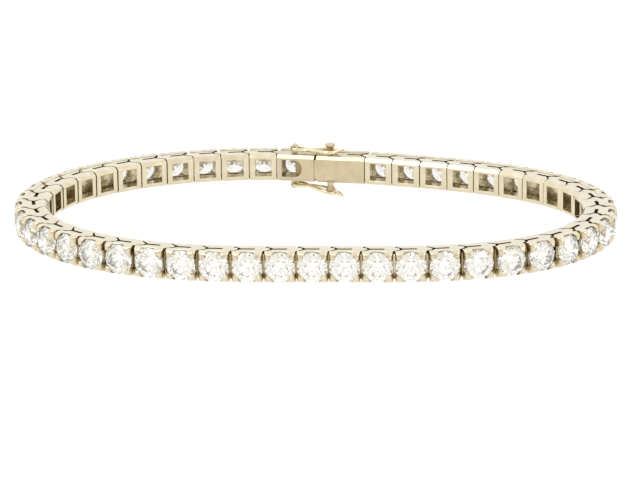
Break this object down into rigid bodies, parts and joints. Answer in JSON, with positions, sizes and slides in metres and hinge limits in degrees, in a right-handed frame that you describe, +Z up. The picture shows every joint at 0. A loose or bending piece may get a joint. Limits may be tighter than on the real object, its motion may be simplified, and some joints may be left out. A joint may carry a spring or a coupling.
{
  "type": "tennis bracelet",
  "caption": "Tennis bracelet lying on its side: a closed chain of box links with round brilliants in corner prongs, and a box clasp with figure-eight safety catches.",
  "frame": {"origin": "centre of the bracelet's box, on the surface it lies on", "axes": "+X along the loop's long side, +Y from the front of the loop to the clasp at its back, +Z up"},
  "size_m": [0.07, 0.0494, 0.0067],
  "materials": {
    "white_gold": "polished",
    "clasp_gold": "polished",
    "catch_gold": "polished",
    "diamond": "clear, facetted"
  },
  "bodies": {
    "bracelet": {"link_01": "white_gold", "link_02": "white_gold", "link_03": "white_gold", "link_04": "white_gold", "link_05": "white_gold", "link_06": "white_gold", "link_07": "white_gold", "link_08": "white_gold", "link_09": "white_gold", "link_10": "white_gold", "link_11": "white_gold", "link_12": "white_gold", "link_13": "white_gold", "link_14": "white_gold", "link_15": "white_gold", "link_16": "white_gold", "link_17": "white_gold", "link_18": "white_gold", "link_19": "white_gold", "link_20": "white_gold", "link_21": "white_gold", "link_22": "white_gold", "link_23": "white_gold", "link_24": "white_gold", "link_25": "white_gold", "link_26": "white_gold", "link_27": "white_gold", "link_28": "white_gold", "link_29": "white_gold", "link_30": "white_gold", "link_31": "white_gold", "link_32": "white_gold", "link_33": "white_gold", "link_34": "white_gold", "link_35": "white_gold", "link_36": "white_gold", "link_37": "white_gold", "link_38": "white_gold", "link_39": "white_gold", "link_40": "white_gold", "link_41": "white_gold", "link_42": "white_gold", "link_43": "white_gold", "link_44": "white_gold", "link_45": "white_gold", "link_46": "white_gold", "clasp_box": "clasp_gold", "clasp_tongue": "clasp_gold"},
    "upper_catch": {"safety_catch_upper": "catch_gold"},
    "lower_catch": {"safety_catch_lower": "catch_gold"}
  },
  "joints": [
    {"name": "upper_catch_hinge", "type": "hinge", "parent": "bracelet", "child": "upper_catch", "pos_m": [-0.00222, 0.02143, 0.00605], "axis": [-0.2221, -0.974, -0.0439], "range_deg": [0, 150]},
    {"name": "lower_catch_hinge", "type": "hinge", "parent": "bracelet", "child": "lower_catch", "pos_m": [-0.00222, 0.02163, 0.00156], "axis": [0.2221, 0.974, 0.0439], "range_deg": [-12, 138]}
  ]
}
